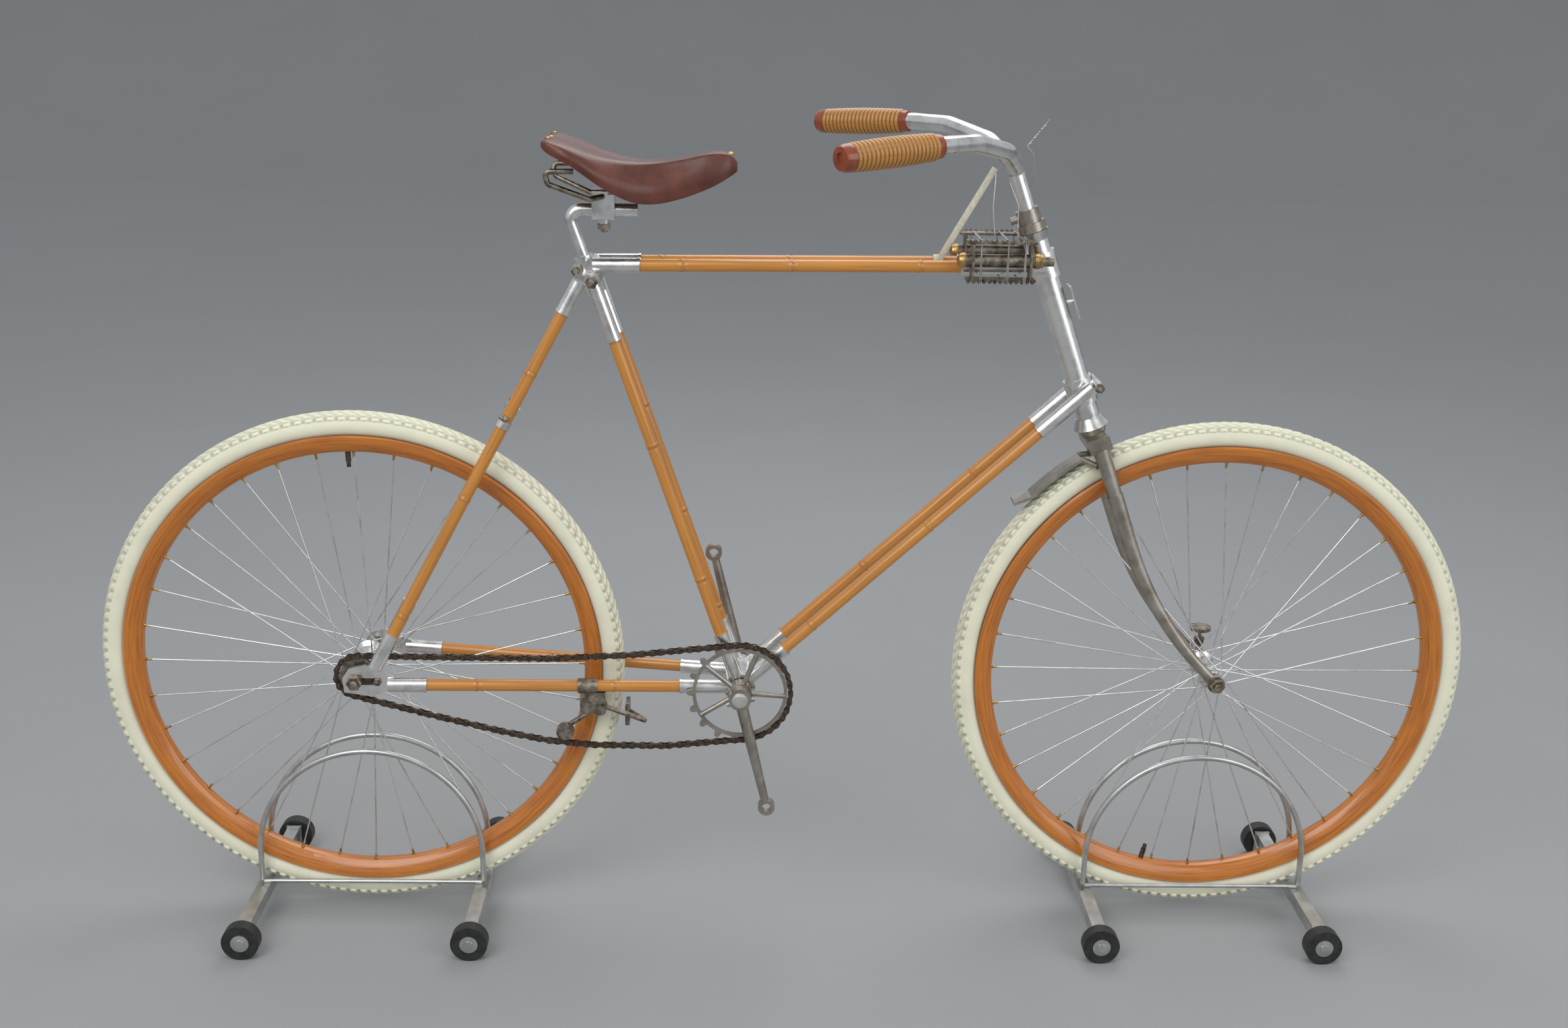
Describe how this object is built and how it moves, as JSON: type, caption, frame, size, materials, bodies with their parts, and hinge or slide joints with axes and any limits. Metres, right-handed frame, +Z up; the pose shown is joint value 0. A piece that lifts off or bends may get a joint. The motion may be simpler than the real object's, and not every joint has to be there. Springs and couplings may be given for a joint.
{
  "type": "bamboo bicycle",
  "caption": "Bicycle framed in paired bamboo tubes and metal lugs, with wooden rims, block chain, swept handlebar and leather saddle, on rolling display stands.",
  "frame": {"origin": "on the floor, half way between the two wheel axles along X and on the bicycle plane of symmetry", "axes": "+X to the front of the bicycle, +Y to its left, +Z up; the chain is at negative Y"},
  "size_m": [1.875, 0.5602, 1.1094],
  "materials": {
    "bamboo": "varnished",
    "tyre": "matt",
    "wood_rim": "varnished",
    "roller_rubber": "satin",
    "stand_steel": "satin",
    "leather": "worn",
    "cane": "varnished",
    "cap_wood": "satin",
    "chain_steel": "oiled",
    "tarnished_nickel": "tarnished",
    "dark_steel": "worn",
    "nickel": "polished"
  },
  "bodies": {
    "frame": {"bottom_bracket_lug": "nickel", "brake_clamp": "dark_steel", "brake_lever": "dark_steel", "chain": "chain_steel", "chainstays": "bamboo", "down_tubes": "bamboo", "head_plate": "nickel", "head_tube": "nickel", "headset_cups": "nickel", "lower_head_lug": "nickel", "rear_axle": "nickel", "rear_dropouts": "nickel", "rear_stand_frame": "stand_steel", "rear_stand_hoops": "stand_steel", "saddle": "leather", "saddle_clamp": "nickel", "saddle_springs": "dark_steel", "seat_bolts": "nickel", "seat_lug": "nickel", "seat_post": "nickel", "seat_tube_lugs": "nickel", "seat_tubes": "bamboo", "seatstays": "bamboo", "stay_bridge": "nickel", "tied_pedals": "dark_steel", "top_tubes": "bamboo", "upper_head_lug": "nickel"},
    "steering": {"fork_crown": "tarnished_nickel", "fork_blades": "tarnished_nickel", "front_axle": "nickel", "head_clamp": "nickel", "handlebar_stem": "nickel", "handlebar": "nickel", "grips": "cane", "grip_caps": "cap_wood", "spoon_brake": "tarnished_nickel", "cyclometer": "nickel", "front_stand_frame": "stand_steel", "front_stand_hoops": "stand_steel"},
    "rear_wheel": {"rear_tyre": "tyre", "rear_rim": "wood_rim", "rear_spokes": "nickel", "rear_hub": "nickel", "rear_sprocket": "dark_steel", "rear_valve": "nickel"},
    "front_wheel": {"front_tyre": "tyre", "front_rim": "wood_rim", "front_spokes": "nickel", "front_hub": "nickel", "front_valve": "nickel"},
    "crank": {"chain_ring": "nickel", "crank_axle": "nickel", "right_crank": "nickel", "left_crank": "nickel"},
    "rear_stand_rear_roller_pair": {"rear_stand_rear_rollers": "roller_rubber"},
    "rear_stand_front_roller_pair": {"rear_stand_front_rollers": "roller_rubber"},
    "front_stand_rear_roller_pair": {"front_stand_rear_rollers": "roller_rubber"},
    "front_stand_front_roller_pair": {"front_stand_front_rollers": "roller_rubber"}
  },
  "joints": [
    {"name": "steering_turn", "type": "hinge", "parent": "frame", "child": "steering", "pos_m": [0.35153, 0, 0.83749], "axis": [-0.342, 0, 0.9397], "range_deg": [-40, 40]},
    {"name": "rear_wheel_spin", "type": "hinge", "parent": "frame", "child": "rear_wheel", "pos_m": [-0.582, 0, 0.368], "axis": [0, 1, 0], "continuous": true},
    {"name": "front_wheel_spin", "type": "hinge", "parent": "steering", "child": "front_wheel", "pos_m": [0.582, 0, 0.368], "axis": [0, 1, 0], "continuous": true},
    {"name": "crank_spin", "type": "hinge", "parent": "frame", "child": "crank", "pos_m": [-0.0675, 0, 0.3487], "axis": [0, 1, 0], "continuous": true},
    {"name": "rear_stand_rear_rollers_spin", "type": "hinge", "parent": "frame", "child": "rear_stand_rear_roller_pair", "pos_m": [-0.735, 0, 0.025], "axis": [0, 1, 0], "continuous": true},
    {"name": "rear_stand_front_rollers_spin", "type": "hinge", "parent": "frame", "child": "rear_stand_front_roller_pair", "pos_m": [-0.429, 0, 0.025], "axis": [0, 1, 0], "continuous": true},
    {"name": "front_stand_rear_rollers_spin", "type": "hinge", "parent": "steering", "child": "front_stand_rear_roller_pair", "pos_m": [0.429, 0, 0.025], "axis": [0, 1, 0], "continuous": true},
    {"name": "front_stand_front_rollers_spin", "type": "hinge", "parent": "steering", "child": "front_stand_front_roller_pair", "pos_m": [0.735, 0, 0.025], "axis": [0, 1, 0], "continuous": true}
  ],
  "couplings": [
    {"joint": "crank_spin", "follows": "rear_wheel_spin", "ratio": 0.41176}
  ]
}
